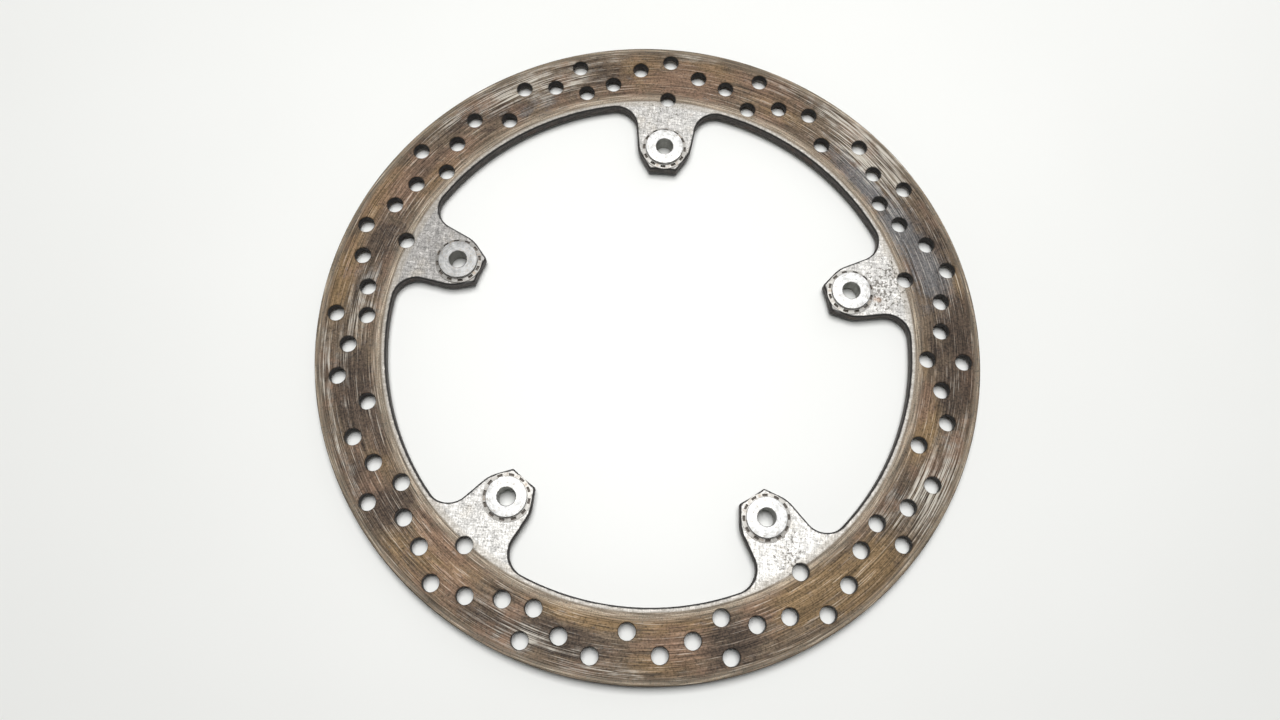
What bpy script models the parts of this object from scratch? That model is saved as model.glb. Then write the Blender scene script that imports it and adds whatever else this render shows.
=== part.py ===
"""A floating brake disc for the front wheel of a motorcycle.

One drilled steel ring carries five lugs that point inwards.  Each lug holds a flanged bush,
and a wheel bolt passes through it.  A windowed spring ring under the flange keeps the bush
from rattling, and a thrust washer and a circlip hold the bush captive at the back.

Frame: metres.  +Z is the disc's axis and points to its outer face.  The origin is on that
axis, in the plane of the bushes' back faces, which bear on the wheel hub.  Lug 1 is on +Y,
and the lugs are numbered anticlockwise as seen from +Z.
"""

import math

import bmesh
import bpy

# Friction ring
DISC_RADIUS = 0.160
INNER_RADIUS = 0.1264
DISC_THICKNESS = 0.005
DISC_BACK = 0.0020
DISC_FRONT = DISC_BACK + DISC_THICKNESS

# Lugs, in a frame whose Y runs outwards along the lug's middle line
LUG_COUNT = 5
LUG_PITCH = math.tau / LUG_COUNT
LUG_ONE_ANGLE = math.tau / 4
TIP_RADIUS = 0.090
TIP_HALF_WIDTH = 0.0067
TIP_ROUNDING = 0.001
SHOULDER_HALF_WIDTH = 0.0131
SHOULDER_HEIGHT = 0.0996
SHOULDER_ROUNDING = 0.016
SIDE_TAPER = math.radians(8.0)
ROOT_FILLET = 0.011

# Ventilation holes: how far out each hole of a row is, for the twelve rows of one lug pitch
VENT_RADIUS = 0.004
VENT_ROWS = (
    (0.130, 0.152),
    (0.147,),
    (0.1395,),
    (0.137, 0.152),
    (0.1445,),
    (0.1495,),
    (0.137,),
    (0.147,),
    (0.142,),
    (0.1345, 0.152),
    (0.142,),
    (0.1445,),
)
VENT_PITCH = LUG_PITCH / len(VENT_ROWS)

# Bush: a sleeve for an M8 bolt, with a flange at the outer face
BUSH_CIRCLE_RADIUS = 0.1015
BUSH_LENGTH = 0.0098
BUSH_RADIUS = 0.0080
BOLT_HOLE_RADIUS = 0.00425
FLANGE_RADIUS = 0.0095
FLANGE_THICKNESS = 0.0015
FLANGE_CHAMFER = 0.0003
BUSH_CHAMFER = 0.0002
BORE_CLEARANCE = 0.0002

# Small parts around each bush.  Faces that bear on each other keep the gap between them
TOUCH_GAP = 0.0001
SPRING_OUTER_RADIUS = 0.0114
SPRING_INNER_RADIUS = 0.0084
SPRING_THICKNESS = 0.0005
WINDOW_COUNT = 12
WINDOW_INNER_RADIUS = 0.0098
WINDOW_OUTER_RADIUS = 0.0110
WINDOW_SPAN = math.radians(14.0)
SHIM_OUTER_RADIUS = 0.0105
SHIM_INNER_RADIUS = 0.0082
SHIM_THICKNESS = 0.0004
CIRCLIP_OUTER_RADIUS = 0.0096
CIRCLIP_INNER_RADIUS = 0.0076
CIRCLIP_THICKNESS = 0.0007
CIRCLIP_HALF_OPENING = math.radians(14.0)
EAR_RADIUS = 0.0112
EAR_SPAN = math.radians(20.0)
EAR_HOLE_RADIUS = 0.0008
GROOVE_RADIUS = 0.0075

# Heights that follow from the sizes above
FLANGE_UNDERSIDE = BUSH_LENGTH - FLANGE_THICKNESS
SPRING_LOW = DISC_FRONT + TOUCH_GAP
SPRING_RISE = FLANGE_UNDERSIDE - TOUCH_GAP - SPRING_THICKNESS - SPRING_LOW
SHIM_TOP = DISC_BACK - TOUCH_GAP
SHIM_LOW = SHIM_TOP - SHIM_THICKNESS
CIRCLIP_TOP = SHIM_LOW - TOUCH_GAP
CIRCLIP_LOW = CIRCLIP_TOP - CIRCLIP_THICKNESS

# Straight steps that stand for each kind of curve
RIM_SIDES = 144
VENT_SIDES = 12
TURNED_SIDES = 32
EAR_HOLE_SIDES = 8
TIP_STEPS = 4
TIP_ROUNDING_STEPS = 3
SHOULDER_STEPS = 4
FILLET_STEPS = 8
BETWEEN_LUGS_STEPS = 18
CIRCLIP_STEPS = 26
EAR_STEPS = 2

SHARP_ANGLE = math.radians(30.0)
MIDDLE = (0.0, 0.0)


def remove_everything():
    for thing in list(bpy.data.objects):
        bpy.data.objects.remove(thing, do_unlink=True)


def steel(name, colour, roughness):
    """A bare metal with the given colour and roughness."""
    material = bpy.data.materials.new(name)
    material.use_nodes = True
    shader = material.node_tree.nodes["Principled BSDF"]
    shader.inputs["Base Color"].default_value = (*colour, 1.0)
    shader.inputs["Metallic"].default_value = 1.0
    shader.inputs["Roughness"].default_value = roughness
    return material


def circle(radius, sides, centre=MIDDLE):
    """The corners of a round outline, anticlockwise."""
    steps = [math.tau * step / sides for step in range(sides)]
    return [(centre[0] + radius * math.cos(a), centre[1] + radius * math.sin(a)) for a in steps]


def arc(centre, radius, first, last, steps):
    """Points along an arc, both ends included, with angles in radians."""
    angles = [first + (last - first) * step / steps for step in range(steps + 1)]
    return [(centre[0] + radius * math.cos(a), centre[1] + radius * math.sin(a)) for a in angles]


def turned(points, angle):
    """The points turned anticlockwise about the origin."""
    cosine, sine = math.cos(angle), math.sin(angle)
    return [(x * cosine - y * sine, x * sine + y * cosine) for x, y in points]


def rounded(corner, heading_in, heading_out, radius, steps):
    """The arc that rounds a corner where an outline turns from one heading to another."""
    turn = heading_out - heading_in
    left = math.copysign(1.0, turn)
    reach = radius * math.tan(abs(turn) / 2.0)
    centre = (
        corner[0] - reach * math.cos(heading_in) - left * radius * math.sin(heading_in),
        corner[1] - reach * math.sin(heading_in) + left * radius * math.cos(heading_in),
    )
    outwards = left * math.tau / 4
    return arc(centre, radius, heading_in - outwards, heading_out - outwards, steps)


def root_fillet():
    """The hollow arc from a lug's side to the ring's inner edge, touching both."""
    along = (math.sin(SIDE_TAPER), math.cos(SIDE_TAPER))
    across = (math.cos(SIDE_TAPER), -math.sin(SIDE_TAPER))
    start_x = SHOULDER_HALF_WIDTH + ROOT_FILLET * across[0]
    start_y = SHOULDER_HEIGHT + ROOT_FILLET * across[1]
    inward = start_x * along[0] + start_y * along[1]
    centre_distance = INNER_RADIUS - ROOT_FILLET
    run = math.sqrt(inward**2 - start_x**2 - start_y**2 + centre_distance**2) - inward
    centre = (start_x + run * along[0], start_y + run * along[1])
    on_ring = math.atan2(centre[1], centre[0])
    return arc(centre, ROOT_FILLET, math.pi - SIDE_TAPER, on_ring, FILLET_STEPS)


def lug_side():
    """One side of a lug, from the rounded corner of its tip out to the ring's inner edge."""
    tip = (TIP_HALF_WIDTH, math.sqrt(TIP_RADIUS**2 - TIP_HALF_WIDTH**2))
    shoulder = (SHOULDER_HALF_WIDTH, SHOULDER_HEIGHT)
    across_tip = -math.atan2(*tip)
    up_nose = math.atan2(shoulder[1] - tip[1], shoulder[0] - tip[0])
    up_side = math.tau / 4 - SIDE_TAPER
    return [
        *rounded(tip, across_tip, up_nose, TIP_ROUNDING, TIP_ROUNDING_STEPS),
        *rounded(shoulder, up_nose, up_side, SHOULDER_ROUNDING, SHOULDER_STEPS),
        *root_fillet(),
    ]


def inner_outline():
    """The ring's inner edge with its five lugs, anticlockwise."""
    side = lug_side()
    tip_turn = math.atan2(*side[0])
    root_turn = math.atan2(*side[-1])
    up = math.tau / 4
    next_root = up + LUG_PITCH - root_turn
    tip = arc(MIDDLE, TIP_RADIUS, up - tip_turn, up + tip_turn, TIP_STEPS)
    mirrored = [(-x, y) for x, y in side]
    between = arc(MIDDLE, INNER_RADIUS, up + root_turn, next_root, BETWEEN_LUGS_STEPS)
    one_pitch = [*reversed(side), *tip[1:-1], *mirrored, *between[1:-1]]
    outline = []
    for lug in range(LUG_COUNT):
        outline += turned(one_pitch, lug * LUG_PITCH)
    return outline


def vent_centres():
    """The middles of all the ventilation holes."""
    centres = []
    for row in range(LUG_COUNT * len(VENT_ROWS)):
        for distance in VENT_ROWS[row % len(VENT_ROWS)]:
            centres += turned([(distance, 0.0)], LUG_ONE_ANGLE + row * VENT_PITCH)
    return centres


def bush_place(lug):
    """Where the axis of a lug's bush is."""
    return turned([(BUSH_CIRCLE_RADIUS, 0.0)], LUG_ONE_ANGLE + lug * LUG_PITCH)[0]


def plate(outlines, low, high):
    """A flat plate between two heights.  The first outline is its edge, the others its holes."""
    shape = bmesh.new()
    edges = []
    for outline in outlines:
        corners = [shape.verts.new((x, y, low)) for x, y in outline]
        edges += [shape.edges.new(ends) for ends in zip(corners, corners[1:] + corners[:1])]
    bmesh.ops.triangle_fill(shape, use_beauty=True, edges=edges)
    grown = bmesh.ops.extrude_face_region(shape, geom=shape.faces[:])
    raised = [item for item in grown["geom"] if isinstance(item, bmesh.types.BMVert)]
    bmesh.ops.translate(shape, verts=raised, vec=(0.0, 0.0, high - low))
    return shape


def turned_solid(profile):
    """A closed profile of (radius, height) points, turned about Z."""
    shape = bmesh.new()
    corners = [shape.verts.new((radius, 0.0, height)) for radius, height in profile]
    edges = [shape.edges.new(ends) for ends in zip(corners, corners[1:] + corners[:1])]
    bmesh.ops.spin(
        shape,
        geom=corners + edges,
        cent=(0.0, 0.0, 0.0),
        axis=(0.0, 0.0, 1.0),
        angle=math.tau,
        steps=TURNED_SIDES,
        use_merge=True,
    )
    return shape


def finished_mesh(name, shape, material):
    """The shape as a mesh that faces outwards and is shaded smooth between its sharp edges."""
    bmesh.ops.recalc_face_normals(shape, faces=shape.faces[:])
    mesh = bpy.data.meshes.new(name)
    shape.to_mesh(mesh)
    shape.free()
    mesh.shade_smooth()
    mesh.set_sharp_from_angle(angle=SHARP_ANGLE)
    mesh.materials.append(material)
    return mesh


def disc_ring_mesh(material):
    """The friction ring with its lugs, its ventilation holes and a bore for each bush."""
    bore_radius = BUSH_RADIUS + BORE_CLEARANCE
    bores = [circle(bore_radius, TURNED_SIDES, bush_place(lug)) for lug in range(LUG_COUNT)]
    vents = [circle(VENT_RADIUS, VENT_SIDES, centre) for centre in vent_centres()]
    outlines = [circle(DISC_RADIUS, RIM_SIDES), inner_outline(), *bores, *vents]
    return finished_mesh("disc_ring", plate(outlines, DISC_BACK, DISC_FRONT), material)


def bush_mesh(material):
    """The flanged sleeve, with a groove for the circlip near its back end."""
    groove_low = CIRCLIP_LOW - TOUCH_GAP
    groove_top = CIRCLIP_TOP + TOUCH_GAP
    profile = [
        (BOLT_HOLE_RADIUS + FLANGE_CHAMFER, BUSH_LENGTH),
        (FLANGE_RADIUS - FLANGE_CHAMFER, BUSH_LENGTH),
        (FLANGE_RADIUS, BUSH_LENGTH - FLANGE_CHAMFER),
        (FLANGE_RADIUS, FLANGE_UNDERSIDE),
        (BUSH_RADIUS, FLANGE_UNDERSIDE),
        (BUSH_RADIUS, groove_top),
        (GROOVE_RADIUS, groove_top),
        (GROOVE_RADIUS, groove_low),
        (BUSH_RADIUS, groove_low),
        (BUSH_RADIUS, BUSH_CHAMFER),
        (BUSH_RADIUS - BUSH_CHAMFER, 0.0),
        (BOLT_HOLE_RADIUS + BUSH_CHAMFER, 0.0),
        (BOLT_HOLE_RADIUS, BUSH_CHAMFER),
        (BOLT_HOLE_RADIUS, BUSH_LENGTH - FLANGE_CHAMFER),
    ]
    return finished_mesh("bush", turned_solid(profile), material)


def window_outline(window):
    """One window of the spring ring, whose sides run straight between its four corners."""
    middle = math.tau * window / WINDOW_COUNT
    first, last = middle - WINDOW_SPAN / 2.0, middle + WINDOW_SPAN / 2.0
    near = arc(MIDDLE, WINDOW_INNER_RADIUS, first, last, 1)
    far = arc(MIDDLE, WINDOW_OUTER_RADIUS, last, first, 1)
    return near + far


def spring_ring_mesh(material):
    """A dished ring with twelve windows.  Its rim lies on the lug, its bore meets the flange."""
    outlines = [
        circle(SPRING_OUTER_RADIUS, TURNED_SIDES),
        circle(SPRING_INNER_RADIUS, TURNED_SIDES),
        *[window_outline(window) for window in range(WINDOW_COUNT)],
    ]
    shape = plate(outlines, SPRING_LOW, SPRING_LOW + SPRING_THICKNESS)
    width = SPRING_OUTER_RADIUS - SPRING_INNER_RADIUS
    for corner in shape.verts:
        inward = SPRING_OUTER_RADIUS - math.hypot(corner.co.x, corner.co.y)
        corner.co.z += SPRING_RISE * inward / width
    return finished_mesh("spring_ring", shape, material)


def shim_washer_mesh(material):
    """The flat washer that bears on the lug's back face."""
    outlines = [circle(SHIM_OUTER_RADIUS, TURNED_SIDES), circle(SHIM_INNER_RADIUS, TURNED_SIDES)]
    return finished_mesh("shim_washer", plate(outlines, SHIM_LOW, SHIM_TOP), material)


def circlip_mesh(material):
    """An open ring with an ear at each end, and a hole for the pliers in each ear."""
    first, last = CIRCLIP_HALF_OPENING, math.tau - CIRCLIP_HALF_OPENING
    body_start, body_end = first + EAR_SPAN, last - EAR_SPAN
    edge = [
        *arc(MIDDLE, EAR_RADIUS, first, body_start, EAR_STEPS),
        *arc(MIDDLE, CIRCLIP_OUTER_RADIUS, body_start, body_end, CIRCLIP_STEPS),
        *arc(MIDDLE, EAR_RADIUS, body_end, last, EAR_STEPS),
        *arc(MIDDLE, CIRCLIP_INNER_RADIUS, last, first, CIRCLIP_STEPS),
    ]
    ear_middle = ((EAR_RADIUS + CIRCLIP_INNER_RADIUS) / 2.0, 0.0)
    ear_turn = first + EAR_SPAN / 2.0
    ear_centres = turned([ear_middle], ear_turn) + turned([ear_middle], -ear_turn)
    holes = [circle(EAR_HOLE_RADIUS, EAR_HOLE_SIDES, centre) for centre in ear_centres]
    return finished_mesh("circlip", plate([edge, *holes], CIRCLIP_LOW, CIRCLIP_TOP), material)


def place(name, mesh, parent=None):
    """Puts a mesh in the scene, on its parent's axis if it has one."""
    thing = bpy.data.objects.new(name, mesh)
    bpy.context.scene.collection.objects.link(thing)
    thing.parent = parent
    return thing


def bush_axis(lug):
    """An empty on the axis of a lug's bush, turned so that its X points away from the disc's axis."""
    axis = bpy.data.objects.new(f"bush_axis_{lug + 1}", None)
    bpy.context.scene.collection.objects.link(axis)
    axis.location = (*bush_place(lug), 0.0)
    axis.rotation_euler = (0.0, 0.0, LUG_ONE_ANGLE + lug * LUG_PITCH)
    return axis


def main():
    remove_everything()
    place("disc_ring", disc_ring_mesh(steel("disc_steel", (0.20, 0.15, 0.11), 0.42)))
    meshes = {
        "bush": bush_mesh(steel("bush_steel", (0.72, 0.72, 0.72), 0.28)),
        "spring_ring": spring_ring_mesh(steel("spring_steel", (0.55, 0.53, 0.49), 0.32)),
        "shim_washer": shim_washer_mesh(steel("shim_steel", (0.50, 0.50, 0.50), 0.40)),
        "circlip": circlip_mesh(steel("circlip_steel", (0.10, 0.10, 0.11), 0.45)),
    }
    for lug in range(LUG_COUNT):
        axis = bush_axis(lug)
        for name, mesh in meshes.items():
            place(f"{name}_{lug + 1}", mesh, axis)


main()
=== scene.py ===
"""A used floating brake disc for a motorcycle's front wheel, lying on a pale bench.

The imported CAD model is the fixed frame.  Each CAD node is stood for by a finer piece on the same
dimensions: the friction ring, and for every lug its bush, spring ring, thrust washer and circlip.

Frame: metres, as in the CAD model.  +Z is the disc's axis and points to its outer face, the
bushes' back faces are at z = 0 and rest on the bench, and lug 1 is on +Y.
"""

import math

import bpy
import numpy as np
from mathutils import Matrix, Vector
from mathutils.geometry import delaunay_2d_cdt


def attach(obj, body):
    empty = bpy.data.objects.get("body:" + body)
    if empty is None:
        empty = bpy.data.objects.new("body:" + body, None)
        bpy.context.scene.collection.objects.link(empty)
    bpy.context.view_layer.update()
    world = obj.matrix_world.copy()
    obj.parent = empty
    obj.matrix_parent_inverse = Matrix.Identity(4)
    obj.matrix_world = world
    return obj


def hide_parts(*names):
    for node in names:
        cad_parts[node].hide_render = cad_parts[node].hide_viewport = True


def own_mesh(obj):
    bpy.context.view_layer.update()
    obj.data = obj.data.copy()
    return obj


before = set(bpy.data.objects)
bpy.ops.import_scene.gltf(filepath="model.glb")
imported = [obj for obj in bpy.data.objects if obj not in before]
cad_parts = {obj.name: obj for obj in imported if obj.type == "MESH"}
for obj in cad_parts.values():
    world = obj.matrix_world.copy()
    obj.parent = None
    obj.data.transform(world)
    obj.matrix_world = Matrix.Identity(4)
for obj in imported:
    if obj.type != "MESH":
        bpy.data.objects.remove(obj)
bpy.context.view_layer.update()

# ---------------------------------------------------------------- dimensions, as in the CAD model

DISC_RADIUS = 0.160
INNER_RADIUS = 0.1264
DISC_BACK = 0.0020
DISC_FRONT = 0.0070

LUG_COUNT = 5
LUG_PITCH = math.tau / LUG_COUNT
LUG_ONE_ANGLE = math.tau / 4
TIP_RADIUS = 0.090
TIP_HALF_WIDTH = 0.0067
TIP_ROUNDING = 0.001
SHOULDER_HALF_WIDTH = 0.0131
SHOULDER_HEIGHT = 0.0996
SHOULDER_ROUNDING = 0.016
SIDE_TAPER = math.radians(8.0)
ROOT_FILLET = 0.011

VENT_RADIUS = 0.004
# The vent holes' rows from one lug to the next, with each hole's distance from the disc's axis
VENT_ROWS = (
    (0.130, 0.152),
    (0.147,),
    (0.1395,),
    (0.137, 0.152),
    (0.1445,),
    (0.1495,),
    (0.137,),
    (0.147,),
    (0.142,),
    (0.1345, 0.152),
    (0.142,),
    (0.1445,),
)
VENT_PITCH = LUG_PITCH / len(VENT_ROWS)

BUSH_CIRCLE_RADIUS = 0.1015
BUSH_LENGTH = 0.0098
BUSH_RADIUS = 0.0080
BORE_RADIUS = 0.0082
BOLT_HOLE_RADIUS = 0.00425
FLANGE_RADIUS = 0.0095
FLANGE_UNDERSIDE = 0.0083

SPRING_LOW = 0.0071
SPRING_THICKNESS = 0.0005
SPRING_RISE = 0.0006
SPRING_INNER_RADIUS = 0.0084
WINDOW_INNER_RADIUS = 0.0098
WINDOW_OUTER_RADIUS = 0.0110
SPRING_OUTER_RADIUS = 0.0114
WINDOW_COUNT = 12
WINDOW_SPAN = math.radians(14.0)

SHIM_LOW = 0.0015
SHIM_HIGH = 0.0019
SHIM_INNER_RADIUS = 0.0082
SHIM_OUTER_RADIUS = 0.0105

CIRCLIP_LOW = 0.0007
CIRCLIP_HIGH = 0.0014
CIRCLIP_INNER_RADIUS = 0.0076
CIRCLIP_OUTER_RADIUS = 0.0096
CIRCLIP_HALF_OPENING = math.radians(14.0)
EAR_RADIUS = 0.0112
EAR_SPAN = math.radians(20.0)
EAR_HOLE_RADIUS = 0.0008
GROOVE_RADIUS = 0.0075
GROOVE_LOW = 0.0006
GROOVE_HIGH = 0.0015

# ---------------------------------------------------------------- finish of the shapes

# The pads have worn a track a little below the lugs' faces, and left a lip at the rim
TRACK_INNER = 0.1287
TRACK_STEP = 0.00015
TRACK_DEPTH = 0.00010
LIP_INNER = 0.1584
LIP_STEP = 0.0003
LIP_DEPTH = 0.00004
RIM_CHAMFER = 0.0004
EDGE_CHAMFER = 0.0005
VENT_CHAMFER = 0.0003
CLIP_CHAMFER = 0.00008
CLIP_ROUNDING = 0.0005
CLIP_ARC_MARGIN = 1.5 * CLIP_ROUNDING
FLANGE_ROUNDING = 0.0003
BUSH_ROUNDING = 0.0002
RELIEF_RADIUS = 0.0064
RELIEF_DEPTH = 0.00006

# Each step of the ring's faces: how far out, and how far below the plane of the lugs' faces
FACE_STEPS = (
    (TRACK_INNER, 0.0),
    (TRACK_INNER + TRACK_STEP, TRACK_DEPTH),
    (LIP_INNER, TRACK_DEPTH),
    (LIP_INNER + LIP_STEP, LIP_DEPTH),
    (DISC_RADIUS - RIM_CHAMFER, LIP_DEPTH),
    (DISC_RADIUS, LIP_DEPTH + RIM_CHAMFER),
)

RIM_SIDES = 360
VENT_SIDES = 40
TURNED_SIDES = 96
EAR_HOLE_SIDES = 16
ARC_STEPS = 24
CORNER_STEPS = 6
CLIP_CORNER_STEPS = 4
CLIP_STEPS_PER_RADIAN = 12
FLANGE_CORNER_STEPS = 4
SMALL_CORNER_STEPS = 3
WINDOW_STEPS = 3
SHARP_ANGLE = math.radians(28.0)
MIDDLE = (0.0, 0.0)
# Corners inside the ring's faces, which carry the painted marks, and how clear of edges they keep
PAINT_GRID = 0.0016
PAINT_MARGIN = PAINT_GRID / 4.0
# Outlines are triangulated in millimetres, and points closer than this are taken as one
MILLIMETRES = 1000.0
SAME_POINT = 1e-4

# ---------------------------------------------------------------- outlines


def arc(centre, radius, first, last, steps):
    """Points along an arc, both ends included, with angles in radians."""
    angles = [first + (last - first) * step / steps for step in range(steps + 1)]
    return [(centre[0] + radius * math.cos(a), centre[1] + radius * math.sin(a)) for a in angles]


def circle(radius, sides, centre=MIDDLE):
    """The corners of a regular polygon, anticlockwise."""
    return arc(centre, radius, 0.0, math.tau, sides)[:-1]


def turned(points, angle):
    """The points turned anticlockwise about the origin."""
    cosine, sine = math.cos(angle), math.sin(angle)
    return [(x * cosine - y * sine, x * sine + y * cosine) for x, y in points]


def rounded(corner, heading_in, heading_out, radius, steps=CORNER_STEPS):
    """The arc that rounds a corner where an outline turns from one heading to another."""
    turn = heading_out - heading_in
    left = math.copysign(1.0, turn)
    reach = radius * math.tan(abs(turn) / 2.0)
    centre = (
        corner[0] - reach * math.cos(heading_in) - left * radius * math.sin(heading_in),
        corner[1] - reach * math.sin(heading_in) + left * radius * math.cos(heading_in),
    )
    outwards = left * math.tau / 4
    return arc(centre, radius, heading_in - outwards, heading_out - outwards, steps)


def softened(corners, radius):
    """A closed outline of straight edges, anticlockwise, with each corner rounded."""
    outline = []
    befores, afters = corners[-1:] + corners[:-1], corners[1:] + corners[:1]
    for before, corner, after in zip(befores, corners, afters):
        heading_in = math.atan2(corner[1] - before[1], corner[0] - before[0])
        turn = math.atan2(after[1] - corner[1], after[0] - corner[0]) - heading_in
        turn = (turn + math.pi) % math.tau - math.pi
        outline += rounded(corner, heading_in, heading_in + turn, radius, SMALL_CORNER_STEPS)
    return outline


def root_fillet():
    """The hollow arc from a lug's side to the ring's inner edge, touching both."""
    along = (math.sin(SIDE_TAPER), math.cos(SIDE_TAPER))
    across = (math.cos(SIDE_TAPER), -math.sin(SIDE_TAPER))
    start_x = SHOULDER_HALF_WIDTH + ROOT_FILLET * across[0]
    start_y = SHOULDER_HEIGHT + ROOT_FILLET * across[1]
    # The fillet's centre is its own radius away from both the lug's side and the inner circle
    inward = start_x * along[0] + start_y * along[1]
    centre_distance = INNER_RADIUS - ROOT_FILLET
    run = math.sqrt(inward**2 - start_x**2 - start_y**2 + centre_distance**2) - inward
    centre = (start_x + run * along[0], start_y + run * along[1])
    on_ring = math.atan2(centre[1], centre[0])
    return arc(centre, ROOT_FILLET, math.pi - SIDE_TAPER, on_ring, ARC_STEPS)


def lug_side():
    """One side of a lug, from the rounded corner of its tip out to the ring's inner edge."""
    tip = (TIP_HALF_WIDTH, math.sqrt(TIP_RADIUS**2 - TIP_HALF_WIDTH**2))
    shoulder = (SHOULDER_HALF_WIDTH, SHOULDER_HEIGHT)
    across_tip = -math.atan2(*tip)
    up_nose = math.atan2(shoulder[1] - tip[1], shoulder[0] - tip[0])
    up_side = math.tau / 4 - SIDE_TAPER
    return [
        *rounded(tip, across_tip, up_nose, TIP_ROUNDING),
        *rounded(shoulder, up_nose, up_side, SHOULDER_ROUNDING, 2 * CORNER_STEPS),
        *root_fillet(),
    ]


def inner_outline():
    """The ring's inner edge with its five lugs, anticlockwise."""
    side = lug_side()
    tip_turn = math.atan2(*side[0])
    root_turn = math.atan2(*side[-1])
    up = math.tau / 4
    next_root = up + LUG_PITCH - root_turn
    tip = arc(MIDDLE, TIP_RADIUS, up - tip_turn, up + tip_turn, CORNER_STEPS)
    mirrored = [(-x, y) for x, y in side]
    between = arc(MIDDLE, INNER_RADIUS, up + root_turn, next_root, 2 * ARC_STEPS)
    one_pitch = [*reversed(side), *tip[1:-1], *mirrored, *between[1:-1]]
    outline = []
    for lug in range(LUG_COUNT):
        outline += turned(one_pitch, lug * LUG_PITCH)
    return outline


def vent_centres():
    """The middles of all the ventilation holes."""
    centres = []
    for row in range(LUG_COUNT * len(VENT_ROWS)):
        for distance in VENT_ROWS[row % len(VENT_ROWS)]:
            centres += turned([(distance, 0.0)], LUG_ONE_ANGLE + row * VENT_PITCH)
    return centres


def bush_place(lug):
    """Where the axis of a lug's bush is."""
    return turned([(BUSH_CIRCLE_RADIUS, 0.0)], LUG_ONE_ANGLE + lug * LUG_PITCH)[0]


def circlip_outline():
    """The clip's edge with its two ears, anticlockwise, every corner rounded."""
    first, last = CIRCLIP_HALF_OPENING, math.tau - CIRCLIP_HALF_OPENING
    body_start, body_end = first + EAR_SPAN, last - EAR_SPAN
    outwards, onwards, inwards, backwards = (math.tau * quarter / 4 for quarter in range(4))
    corners = [
        (EAR_RADIUS, first, outwards, onwards),
        (EAR_RADIUS, body_start, onwards, inwards),
        (CIRCLIP_OUTER_RADIUS, body_start, inwards, onwards),
        (CIRCLIP_OUTER_RADIUS, body_end, onwards, outwards),
        (EAR_RADIUS, body_end, outwards, onwards),
        (EAR_RADIUS, last, onwards, inwards),
        (CIRCLIP_INNER_RADIUS, last, inwards, backwards),
        (CIRCLIP_INNER_RADIUS, first, backwards, outwards + math.tau),
    ]
    outline = []
    for (radius, angle, heading_in, heading_out), after in zip(corners, corners[1:] + corners[:1]):
        corner = (radius * math.cos(angle), radius * math.sin(angle))
        turns = (angle + heading_in, angle + heading_out)
        outline += rounded(corner, *turns, CLIP_ROUNDING, CLIP_CORNER_STEPS)
        # Two corners at one distance are joined by an arc that keeps clear of their rounding
        if after[0] == radius and after[1] != angle:
            margin = math.copysign(CLIP_ARC_MARGIN / radius, after[1] - angle)
            steps = max(2, round(CLIP_STEPS_PER_RADIAN * abs(after[1] - angle)))
            outline += arc(MIDDLE, radius, angle + margin, after[1] - margin, steps)
    return outline


def moved_right(outline, distance):
    """The outline moved to the right of the way it runs."""
    points = np.array(outline)
    along = np.roll(points, -1, axis=0) - np.roll(points, 1, axis=0)
    along /= np.linalg.norm(along, axis=1)[:, None]
    return points + distance * np.column_stack([along[:, 1], -along[:, 0]])


def inside(points, outline):
    """Whether each point lies inside the outline, by counting the edges to its right."""
    x, y = points[:, 0], points[:, 1]
    found = np.zeros(len(points), bool)
    for (ax, ay), (bx, by) in zip(outline, np.roll(outline, -1, axis=0)):
        if ay != by:
            spans = (ay > y) != (by > y)
            found ^= spans & (x < (bx - ax) * (y - ay) / (by - ay) + ax)
    return found


def distance_to(points, corners):
    """How far each point is from the nearest of the corners."""
    nearest = np.full(len(points), np.inf)
    for x, y in corners:
        nearest = np.minimum(nearest, np.hypot(points[:, 0] - x, points[:, 1] - y))
    return nearest


def distance_to_line(points, outline):
    """How far each point is from the nearest edge of a closed outline."""
    nearest = np.full(len(points), np.inf)
    starts = np.array(outline)
    for start, along in zip(starts, np.roll(starts, -1, axis=0) - starts):
        share = np.clip((points - start) @ along / (along @ along), 0.0, 1.0)
        gap = points - start - share[:, None] * along
        nearest = np.minimum(nearest, np.hypot(gap[:, 0], gap[:, 1]))
    return nearest


# ---------------------------------------------------------------- meshes


def triangles_between(loops, loose=()):
    """Corners and triangles that respect every loop, with loose points in between.

    The third result gives, for each corner, the loop that it came from, or -1.
    """
    points, edges, owners = [], [], []
    for number, loop in enumerate(loops):
        start, count = len(points), len(loop)
        points += [Vector(point) * MILLIMETRES for point in loop]
        edges += [(start + k, start + (k + 1) % count) for k in range(count)]
        owners += [number] * count
    points += [Vector(point) * MILLIMETRES for point in loose]
    owners += [-1] * len(loose)
    corners, _, faces, sources, _, _ = delaunay_2d_cdt(points, edges, [], 0, SAME_POINT)
    owner = np.array([owners[source[0]] if source else -1 for source in sources])
    return np.array([corner[:] for corner in corners]) / MILLIMETRES, np.array(faces), owner


def kept_faces(corners, faces, keep):
    """The faces that pass a test of their middles, all anticlockwise."""
    faces = faces[keep(corners[faces].mean(axis=1))]
    first, second, third = (corners[faces[:, k]] for k in range(3))
    ahead, aside = second - first, third - first
    clockwise = ahead[:, 0] * aside[:, 1] < ahead[:, 1] * aside[:, 0]
    faces[clockwise] = faces[clockwise][:, ::-1]
    return faces


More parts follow.
